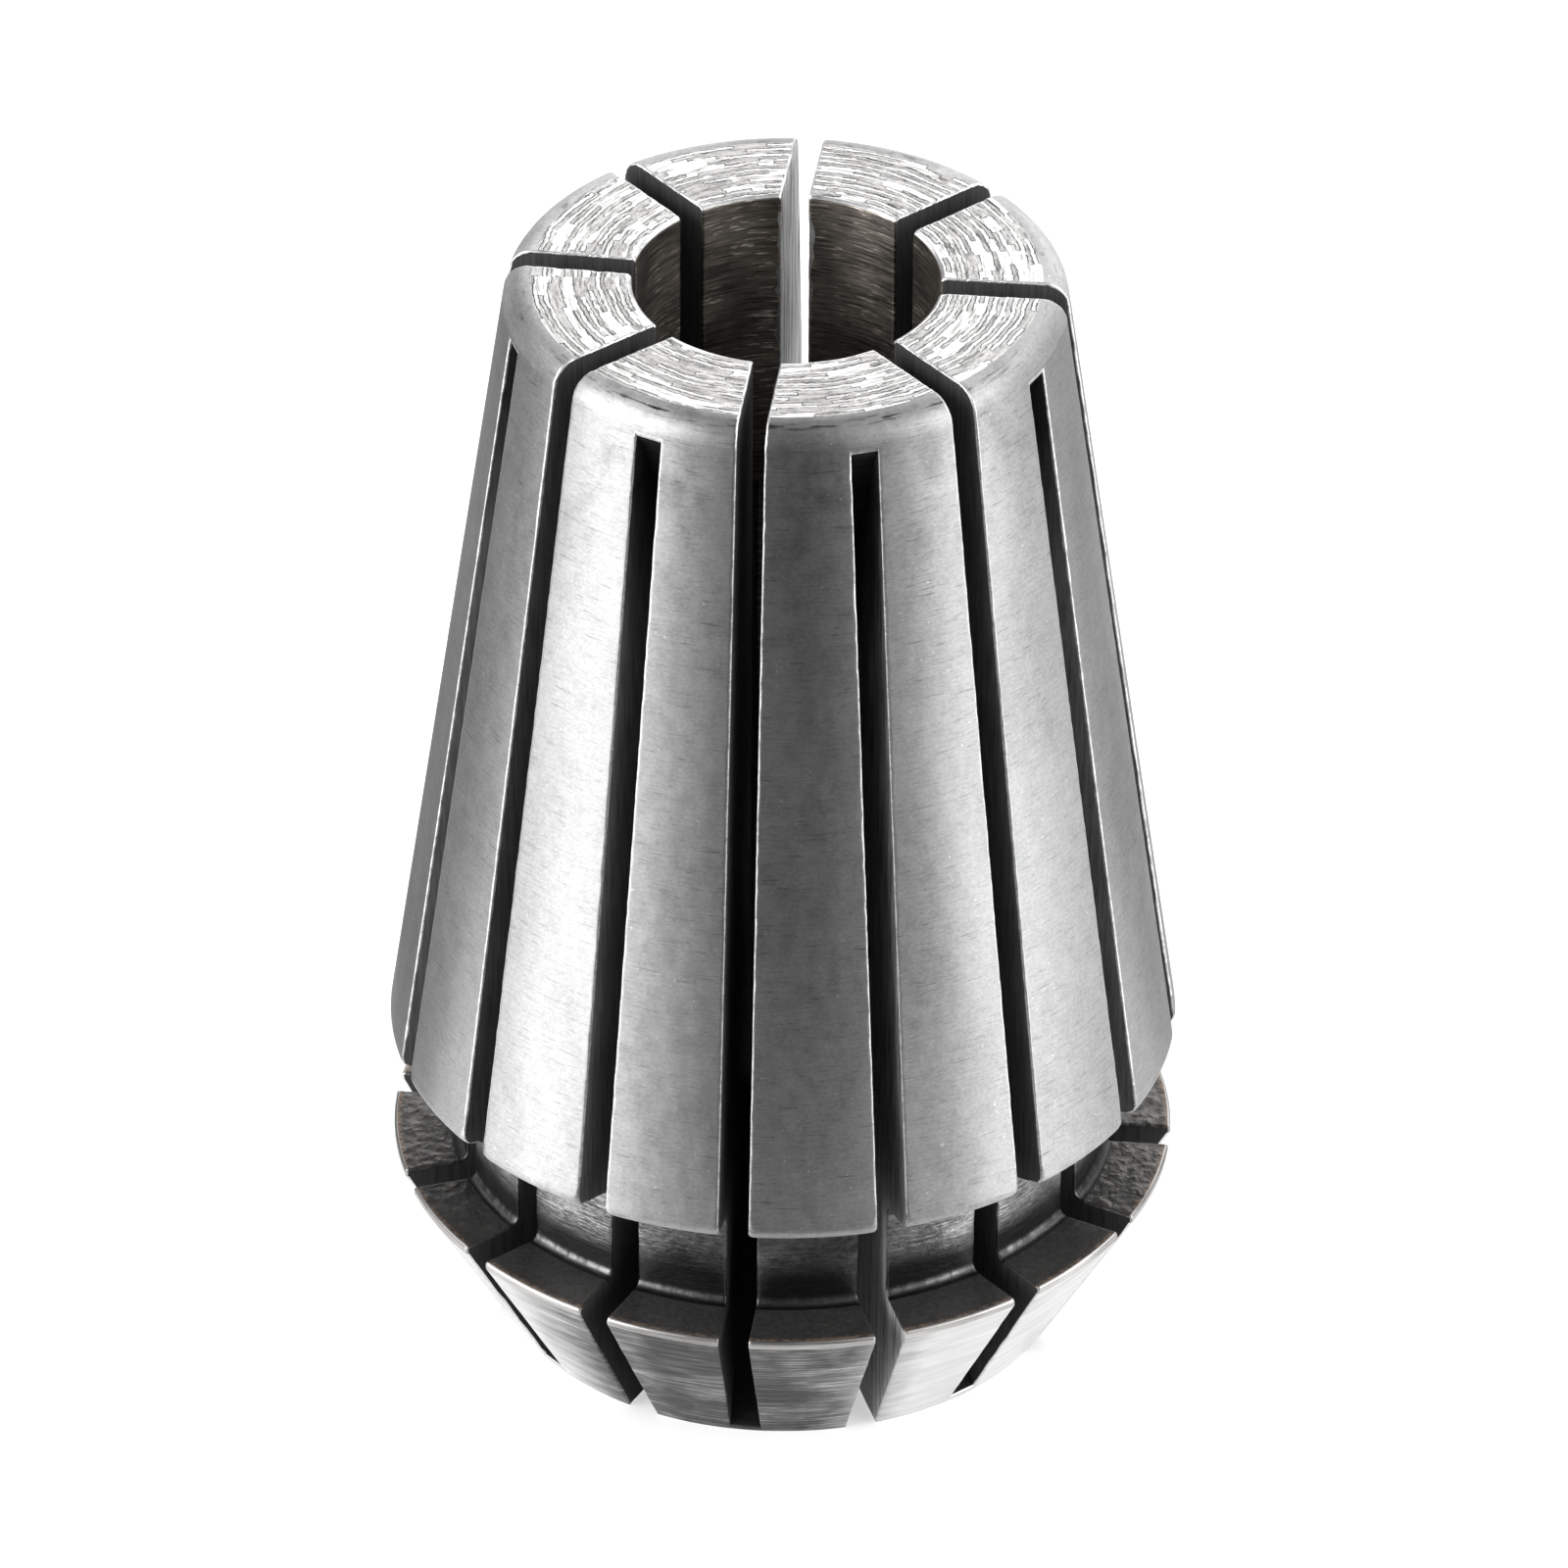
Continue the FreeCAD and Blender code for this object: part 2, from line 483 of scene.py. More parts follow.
class Builder:
    """Collects the vertices and the faces of the collet."""

    def __init__(self):
        self.vertices = []
        self.faces = []
        self.regions = []

    def vertex(self, point):
        self.vertices.append(point)
        return len(self.vertices) - 1

    def curve(self, start, middle, end):
        """Vertices from one that is there already, along a corner's rounding."""
        return [start] + [self.vertex(point) for point in bezier(self.vertices[start], middle, end)]

    def face(self, indices, region):
        self.faces.append(indices)
        self.regions.append(REGIONS.index(region))

    def flat_face(self, loop, along, region):
        """Triangles that fill a loop of vertices in an upright plane."""
        places = [Vector((self.vertices[i] @ along, self.vertices[i][2])) for i in loop]
        outline = list(range(len(loop)))
        _, _, triangles, origins, *_ = delaunay_2d_cdt(places, [], [outline], FILL_INSIDE, FILL_TOLERANCE)
        for triangle in triangles:
            self.face(tuple(loop[origins[corner][0]] for corner in triangle), region)

    def strip(self, one, other, regions):
        """Quads between two rows of vertices that are side by side."""
        for i in range(len(one) - 1):
            region = regions if isinstance(regions, str) else regions[i]
            self.face((one[i], one[i + 1], other[i + 1], other[i]), region)


class Slot:
    """A slot's place: its plane's direction and the direction across it."""

    def __init__(self, number):
        self.number = number
        angle = FIRST_SLOT_ANGLE + 360 / SLOTS * number + SLOT_STRAY[number]
        self.angle = math.radians(angle)
        self.along = np.array((math.cos(self.angle), math.sin(self.angle), 0))
        self.across = np.array((-math.sin(self.angle), math.cos(self.angle), 0))
        self.name = "nose" if number % 2 else "top"
        self.cut = CUTS[self.name]
        self.shift = BACK_SLOT_SHIFT if number == BACK_SLOT else 0.0

    def at_radius(self, radius, height, offset):
        """The point at that radius whose distance from the slot's middle plane is offset."""
        return self.in_plane(math.sqrt(radius ** 2 - (offset + self.shift) ** 2), height, offset)

    def in_plane(self, distance, height, offset):
        return self.along * distance + self.across * (offset + self.shift) + np.array((0, 0, height))

    def angle_at(self, radius, offset):
        """The angle about the axis of the point that at_radius gives."""
        return self.angle + math.asin((offset + self.shift) / radius)


def sector_columns(builder, section, left, right):
    """The skin between two slots, as columns of vertices that run round the section."""
    rows = []
    for k, (radius, height) in enumerate(section.points):
        half = half_width(height)
        left_edge = half + section.skin_edge(left, k, 1)
        right_edge = half + section.skin_edge(right, k, -1)
        start, end = left.angle_at(radius, left_edge), right.angle_at(radius, -right_edge)
        inner_start = left.angle_at(radius, left_edge + GUARD)
        inner_end = right.angle_at(radius, -right_edge - GUARD)
        if right.angle < left.angle:
            end, inner_end = end + 2 * math.pi, inner_end + 2 * math.pi
        inner = np.linspace(inner_start, inner_end, SECTOR_CELLS + 1)
        rows.append([builder.vertex(np.array((radius * math.cos(a), radius * math.sin(a), height)))
                     for a in (start, *inner, end)])
    return [[row[j] for row in rows] for j in range(len(rows[0]))]


def closed(column):
    """A column that ends on the vertex that it starts from."""
    return column + column[:1]


def add_sectors(builder, section, slots):
    sectors = []
    for i, left in enumerate(slots):
        columns = sector_columns(builder, section, left, slots[(i + 1) % len(slots)])
        for one, other in zip(columns, columns[1:]):
            builder.strip(closed(one), closed(other), section.regions)
        sectors.append(columns)
    return sectors


def web_offsets(height):
    """Distances from the slot's plane of the columns that close it, without the outermost two."""
    edge = half_width(height) + SLOT_EDGE
    return [edge * (2 * i / WEB_CELLS - 1) for i in range(1, WEB_CELLS)]


def add_web(builder, section, slot, rows, left_edge, right_edge):
    """The skin that bridges the slot where the saw didn't reach."""
    count = len(section.points)
    inside = set(rows[1:-1])
    first = rows[-1]
    web_rows = [(first + i) % count for i in range(count) if (first + i) % count not in inside]
    bridge = {}
    for k in web_rows:
        radius, height = section.points[k]
        middle = [builder.vertex(slot.at_radius(radius, height, d)) for d in web_offsets(height)]
        bridge[k] = [left_edge[k]] + middle + [right_edge[k]]
    for k, following in zip(web_rows, web_rows[1:]):
        builder.strip(bridge[k], bridge[following], section.regions[k])
    return bridge[rows[0]], bridge[rows[-1]]


def floor_end(slot, crossing, normal):
    """Where the slot's floor is one edge rounding below the skin, near the crossing."""
    inward = 1 if crossing[0] < BORE_RADIUS + SLOT_EDGE else -1
    radius = crossing[0]
    while True:
        radius += inward * FLOOR_SEARCH_STEP
        point = np.array((radius, slot.cut.floor(radius)))
        if (crossing - point) @ normal >= SLOT_EDGE:
            return point


def wall_start(section, slot, row, side):
    """Where the slot's wall starts below its rounded edge at a row of the skin."""
    radius, height = section.points[row]
    distance = math.sqrt(radius ** 2 - (side * half_width(height) + slot.shift) ** 2)
    return np.array((distance, height)) - section.normals[row] * section.edge(slot, row, side)


def add_rims(builder, section, slot, rows, turns, edge_column, side):
    """One side's rounded edge, row by row. Turns holds the corner and the wall's start for the end rows."""
    rims = []
    for row in rows:
        corner, wall = turns.get(row) or (section.points[row], wall_start(section, slot, row, side))
        middle = slot.at_radius(*corner, side * half_width(section.points[row][1]))
        end = slot.in_plane(*wall, side * half_width(wall[1]))
        rims.append(builder.curve(edge_column[row], middle, end))
    for row, one, other in zip(rows, rims, rims[1:]):
        builder.strip(one, other, section.edge_finish(slot, row))
    return rims


def add_web_corner(builder, slot, crossing, floor_point, bridge, rims, region):
    """The rounded corner between a web's skin and the slot's floor, and the floor's row that ends it."""
    columns = [rims[0]]
    half = half_width(crossing[1])
    for offset, start in zip(web_offsets(crossing[1]), bridge[1:-1]):
        scaled = offset * half / (half + SLOT_EDGE)
        middle = slot.at_radius(*crossing, scaled)
        columns.append(builder.curve(start, middle, slot.in_plane(*floor_point, scaled)))
    columns.append(rims[1])
    for one, other in zip(columns, columns[1:]):
        builder.strip(one, other, region)
    return [column[-1] for column in columns]


def add_floor(builder, slot, ends, corner_rows):
    """The slot's floor between its two rounded corners, and its rows without those of the corners."""
    rows = []
    for i in range(1, FLOOR_STEPS):
        distance = ends[0][0] + (ends[1][0] - ends[0][0]) * i / FLOOR_STEPS
        height = slot.cut.floor(distance)
        half = half_width(height)
        rows.append([builder.vertex(slot.in_plane(distance, height, half * (2 * j / WEB_CELLS - 1)))
                     for j in range(WEB_CELLS + 1)])
    all_rows = [corner_rows[0], *rows, corner_rows[1]]
    for one, other in zip(all_rows, all_rows[1:]):
        builder.strip(one, other, "slot_floor")
    return rows


def add_walls(builder, section, slot, rows, crossings, bridges, edges):
    """The rounded edges of one slot, its two walls and its floor."""
    end_rows = (rows[0], rows[-1])
    ends = [floor_end(slot, crossing, section.normals[row]) for crossing, row in zip(crossings, end_rows)]
    turns = dict(zip(end_rows, zip(crossings, ends)))
    rims = [add_rims(builder, section, slot, rows, turns, edge_column, side)
            for side, edge_column in zip((-1, 1), edges)]
    corner_rows = []
    for place, row in zip((0, -1), end_rows):
        corner_rows.append(add_web_corner(builder, slot, crossings[place], ends[place], bridges[place],
                                          (rims[0][place], rims[1][place]), section.edge_finish(slot, row)))
    floor_rows = add_floor(builder, slot, ends, corner_rows)
    region = WALLS.get(slot.number, slot.name + "_slot_wall")
    for side_rims, column in zip(rims, (0, -1)):
        wall = [rim[-1] for rim in side_rims]
        floor = [row[column] for row in reversed(floor_rows)]
        builder.flat_face(wall + floor, slot.along, region)


def collet_geometry():
    section = Section()
    slots = [Slot(i) for i in range(SLOTS)]
    builder = Builder()
    sectors = add_sectors(builder, section, slots)
    for i, slot in enumerate(slots):
        rows, *crossings = slot_range(section, slot.name)
        left_edge, right_edge = sectors[i - 1][-1], sectors[i][0]
        bridges = add_web(builder, section, slot, rows, left_edge, right_edge)
        add_walls(builder, section, slot, rows, crossings, bridges, (left_edge, right_edge))
    return builder


def ring_noise(random, angles, radii, cells, pitch):
    """Smooth noise from -1 to 1 that repeats once round the axis."""
    rows = int(LENGTH / pitch) + 2
    grid = random.uniform(-1, 1, (rows, cells))
    across = (angles / (2 * math.pi)) % 1 * cells
    along = radii / pitch
    column, row = across.astype(int), along.astype(int)
    u, v = across - column, along - row
    u, v = u * u * (3 - 2 * u), v * v * (3 - 2 * v)
    column, following = column % cells, (column + 1) % cells
    low = grid[row, column] * (1 - u) + grid[row, following] * u
    high = grid[row + 1, column] * (1 - u) + grid[row + 1, following] * u
    return low * (1 - v) + high * v


def tool_marks(random, angles, radii):
    """Depth below the small end's face of the tool's torn rings, never above it."""
    stray = PASS_STRAY * ring_noise(random, angles, radii, STRAY_CELLS, STRAY_PITCH)
    passes = (radii + stray) / PASS_PITCH
    number = passes.astype(int)
    part = passes - number
    count = number.max() + 2
    shift = random.uniform(0, 1, count)
    dashes = random.integers(DASHES_ROUND // 2, DASHES_ROUND * 2, count)
    levels = random.uniform(0, 1, (count, 2 * DASHES_ROUND)) ** STEP_BIAS
    place = ((angles / (2 * math.pi) + shift[number]) % 1 * dashes[number]).astype(int)
    level = levels[number, place]
    groove = 0.5 - 0.5 * np.cos(2 * math.pi * part)
    share = SHALLOWEST_GROOVE + (1 - SHALLOWEST_GROOVE) * level
    return GROOVE_DEPTH * groove * share + STEP_DEPTH * level


def add_relief(vertices):
    """Presses the tool marks into the small end's face, and fades them into its edges."""
    random = np.random.default_rng(SEED)
    radii = np.hypot(vertices[:, 0], vertices[:, 1])
    angles = np.arctan2(vertices[:, 1], vertices[:, 0])
    depth = tool_marks(random, angles, radii)
    below = np.clip((LENGTH - vertices[:, 2]) / SLOT_EDGE, 0, 1)
    rim = np.clip((TURNED_FACE_RADIUS - radii) / FACE_RIM, 0, 1)
    vertices[:, 2] -= depth * (1 - below) * rim


def add_object(name, data):
    thing = bpy.data.objects.new(name, data)
    bpy.context.scene.collection.objects.link(thing)
    return thing


def make_collet():
    builder = collet_geometry()
    vertices = np.array(builder.vertices)
    add_relief(vertices)
    mesh = bpy.data.meshes.new("collet_finish")
    mesh.from_pydata((vertices * MM).tolist(), [], builder.faces)
    mesh.polygons.foreach_set("material_index", builder.regions)
    shape = bmesh.new()
    shape.from_mesh(mesh)
    bmesh.ops.recalc_face_normals(shape, faces=shape.faces)
    shape.to_mesh(mesh)
    shape.free()
    mesh.shade_smooth()
    mesh.set_sharp_from_angle(angle=math.radians(SHARP_ANGLE))
    return add_object("collet_finish", mesh)


class Finish:
    """A metal material that is put together node by node."""

    def __init__(self, name):
        self.material = bpy.data.materials.new(name)
        self.material.use_nodes = True
        self.tree = self.material.node_tree
        self.tree.nodes.clear()
        self.shader = self.node("ShaderNodeBsdfPrincipled", {"Metallic": 1.0})
        self.node("ShaderNodeOutputMaterial", {"Surface": self.shader.outputs[0]})
        place = self.node("ShaderNodeTexCoord").outputs["Object"]
        in_mm = self.node("ShaderNodeVectorMath", {0: place, "Scale": 1 / MM}, operation="SCALE")
        self.place = in_mm.outputs[0]
        self.x, self.y, self.z = self.node("ShaderNodeSeparateXYZ", {0: self.place}).outputs
        self.radius = self.math("SQRT", self.plus(self.times(self.x, self.x), self.times(self.y, self.y)))

    def node(self, kind, inputs=None, **settings):
        node = self.tree.nodes.new(kind)
        for key, value in settings.items():
            setattr(node, key, value)
        for key, value in (inputs or {}).items():
            self.plug(node.inputs[key], value)
        return node

    def plug(self, socket, value):
        if isinstance(value, bpy.types.NodeSocket):
            self.tree.links.new(value, socket)
        else:
            socket.default_value = value

    def set(self, **inputs):
        """Sets or links the shader's sockets, named with _ for a space."""
        for key, value in inputs.items():
            self.plug(self.shader.inputs[key.replace("_", " ")], value)

    def math(self, operation, first, *others):
        """The values taken together by one operation, from left to right."""
        for other in others or (0.0,):
            first = self.node("ShaderNodeMath", {0: first, 1: other}, operation=operation).outputs[0]
        return first

    def times(self, *values):
        return self.math("MULTIPLY", *values)

    def plus(self, *values):
        return self.math("ADD", *values)

    def minus(self, *values):
        return self.math("SUBTRACT", *values)

    def divided(self, value, by):
        return self.math("DIVIDE", value, by)

    def apart(self, one, other):
        """How far two values are apart."""
        return self.math("ABSOLUTE", self.minus(one, other))

    def joined(self, *parts):
        """A vector of up to three values."""
        return self.node("ShaderNodeCombineXYZ", dict(enumerate(parts))).outputs[0]

    def rings(self, around, radial):
        """Coordinates for marks that run round the axis on a face across it."""
        return self.joined(
            self.times(self.divided(self.x, self.radius), around),
            self.times(self.divided(self.y, self.radius), around), self.times(self.radius, radial))

    def noise(self, place, detail=3.0, roughness=0.5):
        return self.node(
            "ShaderNodeTexNoise",
            {"Vector": place, "Scale": 1.0, "Detail": detail, "Roughness": roughness}).outputs[0]

    def field(self, across, up, detail=3.0, roughness=0.5):
        """Noise with so many features a millimetre across the axis and along it."""
        place = self.node(
            "ShaderNodeVectorMath", {0: self.place, 1: (across, across, up)},
            operation="MULTIPLY").outputs[0]
        return self.noise(place, detail, roughness)

    def facing(self, azimuth=0.0):
        """The cosine of the angle round the axis from an azimuth, which is 0 at the front."""
        towards = math.radians(azimuth - 90)
        ahead = self.plus(self.times(self.x, math.cos(towards)), self.times(self.y, math.sin(towards)))
        return self.divided(ahead, self.radius)

    def ramp(self, value, low, high, start=0.0, end=1.0):
        """The value from low to high, spread evenly from start to end, and held outside."""
        node = self.node("ShaderNodeMapRange", {0: value, 1: low, 2: high, 3: start, 4: end}, clamp=True)
        return node.outputs[0]

    def stray(self, noise, reach, middle=0.0, span=WIDE):
        """A noise as a value that strays from the middle by up to the reach."""
        return self.ramp(noise, *span, middle - reach, middle + reach)

    def blend(self, share, start, end):
        """The start where the share is 0 and the end where it is 1."""
        return self.node("ShaderNodeMix", {0: share, 2: start, 3: end}, data_type="FLOAT").outputs[0]

    def grey(self, value, tint=(1.0, 1.0, 1.0)):
        """A colour of that brightness with a tint."""
        parts = {i: self.times(value, tint[i]) for i in range(3)}
        return self.node("ShaderNodeCombineColor", parts).outputs[0]

    def bump(self, height, depth, strength):
        """Relief from a height of 0 to 1, where the depth is in millimetres."""
        return self.node(
            "ShaderNodeBump", {"Height": height, "Distance": depth * MM, "Strength": strength}).outputs[0]

    def grain(self, amount):
        """Lets the highlight spread across the tool marks, which run round the axis."""
        tangent = self.node("ShaderNodeTangent", direction_type="RADIAL", axis="Z").outputs[0]
        self.set(Anisotropic=amount, Anisotropic_Rotation=0.25, Tangent=tangent)

    def lined(self, lines, roughness, depth):
        """The gloss and the relief of fine turned lines."""
        self.set(
            Roughness=self.ramp(lines, *WIDE, roughness - 0.06, roughness + 0.08),
            Normal=self.bump(lines, depth, 0.6))
        self.grain(0.6)


def ground_steel(steel, brightness, roughness, smudges=0.0, painted_reflection=1.0):
    """Satin steel with fine grinding lines round the axis, mottles, hair scratches, painted glints, and
    painted light that is brighter at the foot and darker at the small end.
    """
    lines = steel.field(1.1, 18, detail=3, roughness=0.6)
    grain = steel.field(9, 14, detail=2, roughness=0.6)
    mottles = steel.field(2.4, 1.6, detail=4, roughness=0.65)
    clouds = steel.field(0.5, 0.16, detail=4)
    tilted = steel.node("ShaderNodeMapping", {
        "Vector": steel.place, "Rotation": SCRATCH_TILT, "Scale": SCRATCH_STRETCH}).outputs[0]
    scratch = steel.ramp(steel.noise(tilted, detail=1, roughness=0.4), *SCRATCHED)
    # Painted glints: specks of painted highlight
    painted_glints = steel.ramp(steel.field(8, 8, detail=1), *PAINTED_GLINTS)
    blotches = steel.times(
        steel.ramp(steel.field(0.9, 0.6, detail=4), *BLOTCHED), steel.ramp(steel.z, *BLOTCH_HEIGHTS),
        steel.ramp(steel.facing(), *DARKER_FRONT))
    shade = steel.plus(
        steel.stray(lines, 0.03), steel.stray(grain, 0.05), steel.stray(mottles, 0.038),
        steel.stray(clouds, 0.03, span=NARROW), steel.times(blotches, BLOTCH_SHADE),
        steel.times(scratch, SCRATCH_SHADE), steel.times(painted_glints, PAINTED_GLINT_SHADE))
    if smudges:
        shade = steel.minus(shade, steel.times(rim_smudges(steel), smudges))
    # Painted light and shade: brighter at the foot, darker at the small end, and on the rounding a painted
    # reflection that is brighter away from the front
    shade = steel.times(
        steel.plus(shade, brightness), steel.ramp(steel.z, HEAD_FOOT, LENGTH, FOOT_PAINTED_LIGHT, END_PAINTED_SHADE),
        steel.ramp(steel.facing(), *ROUND_PAINTED_REFLECTION, painted_reflection, 1.0))
    height = steel.minus(steel.plus(lines, steel.times(grain, 0.6)), scratch)
    steel.set(
        Base_Color=steel.grey(shade, (1.0, 1.0, 1.01)), Roughness=steel.stray(mottles, 0.04, roughness),
        Normal=steel.bump(height, 0.003, 0.4))
    steel.grain(0.8)


def rim_smudges(steel):
    """1 in the short dark chips that follow the rim of the small end's face."""
    chips = steel.ramp(steel.noise(steel.rings(6, 11), roughness=0.6), *CHIPPED)
    away = steel.apart(steel.radius, SMUDGE_RADIUS)
    return steel.times(
        chips, steel.ramp(steel.facing(), *DARKER_FRONT), steel.ramp(away, 0, SMUDGE_REACH, 1, 0))


def torn_rings(steel, radius, turn):
    """1 where the ring that the tool left is torn, stretch by stretch, and 0 where it is bright; grey and
    bright are partly painted shade and light of the steps.
    """
    ring = steel.math("FLOOR", steel.divided(radius, TORN_PITCH))
    own = steel.node("ShaderNodeTexWhiteNoise", {"W": ring}, noise_dimensions="1D").outputs[0]
    count = steel.ramp(own, 0, 1, *TORN_STRETCHES)
    place = steel.math("FLOOR", steel.plus(steel.times(turn, count), own))
    cell = steel.joined(ring, place)
    level = steel.node("ShaderNodeTexWhiteNoise", {"Vector": cell}, noise_dimensions="2D").outputs[0]
    every_other = steel.math("FLOORED_MODULO", ring, 2)
    return steel.math("GREATER_THAN", level, steel.blend(every_other, *TORN_LEVELS))


def turned_steel(steel, bright, grey, dark, roughness):
    """Coarse tool rings, torn into stepped stretches of bright and grey that are partly painted light and
    shade, with dark lines of painted shade between.
    """
    ragged = steel.stray(steel.field(7, 7), 0.022)
    slow = steel.stray(steel.field(0.7, 0.7, detail=1), 0.05)
    radius = steel.plus(ragged, slow, steel.radius)
    turn = steel.divided(steel.math("ARCTAN2", steel.y, steel.x), 2 * math.pi)
    across = steel.divided(TORN_LINE / (2 * math.pi), steel.radius)
    torn = torn_rings(steel, radius, turn)
    outside = torn_rings(steel, steel.plus(radius, TORN_LINE), turn)
    beside = torn_rings(steel, radius, steel.plus(turn, across))
    # Painted shade: dark lines where the torn stretches step
    line = steel.math("MAXIMUM", steel.apart(torn, outside), steel.apart(torn, beside))
    broken = steel.times(line, steel.ramp(steel.field(3, 3), *LINE_KEPT))
    hair = steel.ramp(steel.noise(steel.rings(7, 14), detail=2, roughness=0.6), *HAIR)
    painted_shade_and_hairs = steel.math("MAXIMUM", broken, steel.times(hair, HAIR_SHARE))
    grit = steel.noise(steel.rings(26, 12), roughness=0.7)
    patches = steel.stray(steel.noise(steel.rings(5, 5), detail=2), 0.12)
    speckled = steel.plus(patches, steel.stray(grit, 0.2, grey, NARROW))
    whole = steel.ramp(grit, *WIDE, bright - 0.06, bright + 0.04)
    # Bright and grey stretches: partly painted light and shade of the tool's steps
    shade = steel.blend(painted_shade_and_hairs, steel.blend(torn, whole, speckled), dark)
    relief = steel.minus(steel.times(grit, 0.3), steel.times(torn, 0.7))
    steel.set(
        Base_Color=steel.grey(shade, (1.0, 0.985, 0.975)), Roughness=steel.stray(grit, 0.06, roughness),
        Normal=steel.bump(relief, 0.010, 0.6))
    steel.grain(0.3)


def streaks(steel, brightness, spread):
    """The shade of broad and fine streaks round the axis, and the fine ones by themselves."""
    broad = steel.field(0.35, 4, detail=4, roughness=0.6)
    lines = steel.field(0.6, 18, detail=4, roughness=0.65)
    both = steel.plus(steel.times(broad, 0.6), steel.times(lines, 0.4))
    return steel.stray(both, spread, brightness, NARROW), lines


def streaked_steel(steel, brightness, roughness, spread, tint=(1.0, 1.0, 1.0)):
    """Turned steel with broad light and dark streaks round the axis."""
    shade, lines = streaks(steel, brightness, spread)
    steel.set(Base_Color=steel.grey(shade, tint))
    steel.lined(lines, roughness, 0.006)


def scale_and_shade_steel(steel, brightness, roughness, spread, scale_and_shade):
    """Streaked steel, darkened on its front and left by scale and painted shade, with lines in patches that
    are worn and lighter, partly as painted highlight.
    """
    shade, lines = streaks(steel, brightness, spread)
    # Painted shade with scale on the front and left; its worn lines are lighter, partly as painted highlight
    limit = math.cos(math.radians(SCALE_AND_SHADE_REACH))
    ragged = steel.plus(steel.facing(SCALE_AND_SHADE_MIDDLE), steel.stray(steel.field(0.9, 3, detail=4), 0.02))
    scale_and_shade_mask = steel.ramp(ragged, limit - SCALE_AND_SHADE_FADE, limit + SCALE_AND_SHADE_FADE)
    worn_and_lit = steel.times(
        steel.ramp(lines, *WORN_AND_LIT_LINES, scale_and_shade, WORN_AND_LIT_GAIN * scale_and_shade),
        steel.ramp(steel.field(0.6, 0.6), *WORN_AND_LIT_PATCHES, *PATCH_SHARES))
    steel.set(Base_Color=steel.grey(steel.times(shade, steel.blend(scale_and_shade_mask, 1.0, worn_and_lit))))
    steel.lined(lines, roughness, 0.006)


def bored_steel(steel, dark, light, roughness):
    """The bore: brown and dark, with fine lines round it, short warm painted glints, and painted shade deeper
    in.
    """
    lines = steel.field(0.8, 18, detail=4, roughness=0.7)
    clouds = steel.field(0.6, 0.6)
    # Painted shade deeper in the bore, and painted glints that fade with it
    shade = steel.times(
        steel.ramp(lines, *NARROW, dark, light), steel.stray(clouds, 0.4, 1.0),
        steel.ramp(steel.z, *PAINTED_SHINE_HEIGHTS, DEEP_PAINTED_SHADE, 1.0))
    painted_glints = steel.times(
        steel.ramp(steel.field(1.9, 18, detail=2), *BORE_PAINTED_GLINTS),
        steel.ramp(steel.z, *PAINTED_SHINE_HEIGHTS, 0.0, 0.8), steel.ramp(clouds, *PAINTED_GLINT_PATCHES))
    steel.set(Base_Color=steel.grey(steel.plus(shade, painted_glints), (1.0, 0.9, 0.8)))
    steel.lined(lines, roughness, 0.008)


def rough_steel(steel, dark, light, roughness, tint):
    """Dark steel left rough by hardening: pebbled and clouded."""
    pebbles = steel.field(6, 6, detail=4, roughness=0.6)
    shade = steel.times(
        steel.ramp(pebbles, *NARROW, dark, light), steel.stray(steel.field(0.7, 1.2), 0.35, 1.0, NARROW))
    steel.set(
        Base_Color=steel.grey(shade, tint), Roughness=steel.stray(pebbles, -0.08, roughness),
        Normal=steel.bump(pebbles, 0.05, 0.9))


def neck_steel(steel, dark, light, foot_highlight, roughness):
    """The groove's neck: dark, brushed round the axis higher up, brighter on its sides with painted light,
    with a notched painted highlight on its foot.
    """
    pebbles = steel.field(5, 7, detail=4, roughness=0.6)
    brushed = steel.field(1.4, 13, detail=4, roughness=0.65)
    rough = steel.plus(steel.times(pebbles, 0.5), steel.times(brushed, 0.5))
    high = steel.ramp(steel.z, *BRUSHED_HEIGHTS)
    # Painted light: brighter away from the front
    bare = steel.times(
        steel.ramp(rough, *NARROWEST, dark, light), steel.stray(steel.field(0.8, 0.8), 0.4, 1.0, NARROW),
        steel.ramp(steel.facing(), *NECK_PAINTED_SIDE_LIGHT, 1.0, PAINTED_SIDE_LIGHT_GAIN))
    notches = steel.times(
        steel.ramp(steel.noise(steel.rings(44, 1)), *NOTCHED, 0.1, 1.0),
        steel.ramp(steel.facing(), *NECK_PAINTED_SIDE_LIGHT, 0.2, 1.0))
    # Painted highlight: the notched bright line on the foot
    away = steel.apart(steel.z, FOOT_HIGHLIGHT)
    line = steel.times(steel.ramp(away, 0.2 * FOOT_HIGHLIGHT_REACH, FOOT_HIGHLIGHT_REACH, 1, 0), notches)
    shade = steel.blend(line, steel.blend(high, dark, bare), foot_highlight)
    steel.set(
        Base_Color=steel.grey(shade, (1.0, 0.99, 0.99)),
        Roughness=steel.ramp(rough, *WIDE, roughness + 0.08, roughness - 0.1),
        Normal=steel.bump(steel.times(rough, steel.ramp(high, 0, 1, 0.4, 1)), 0.07, 0.9))


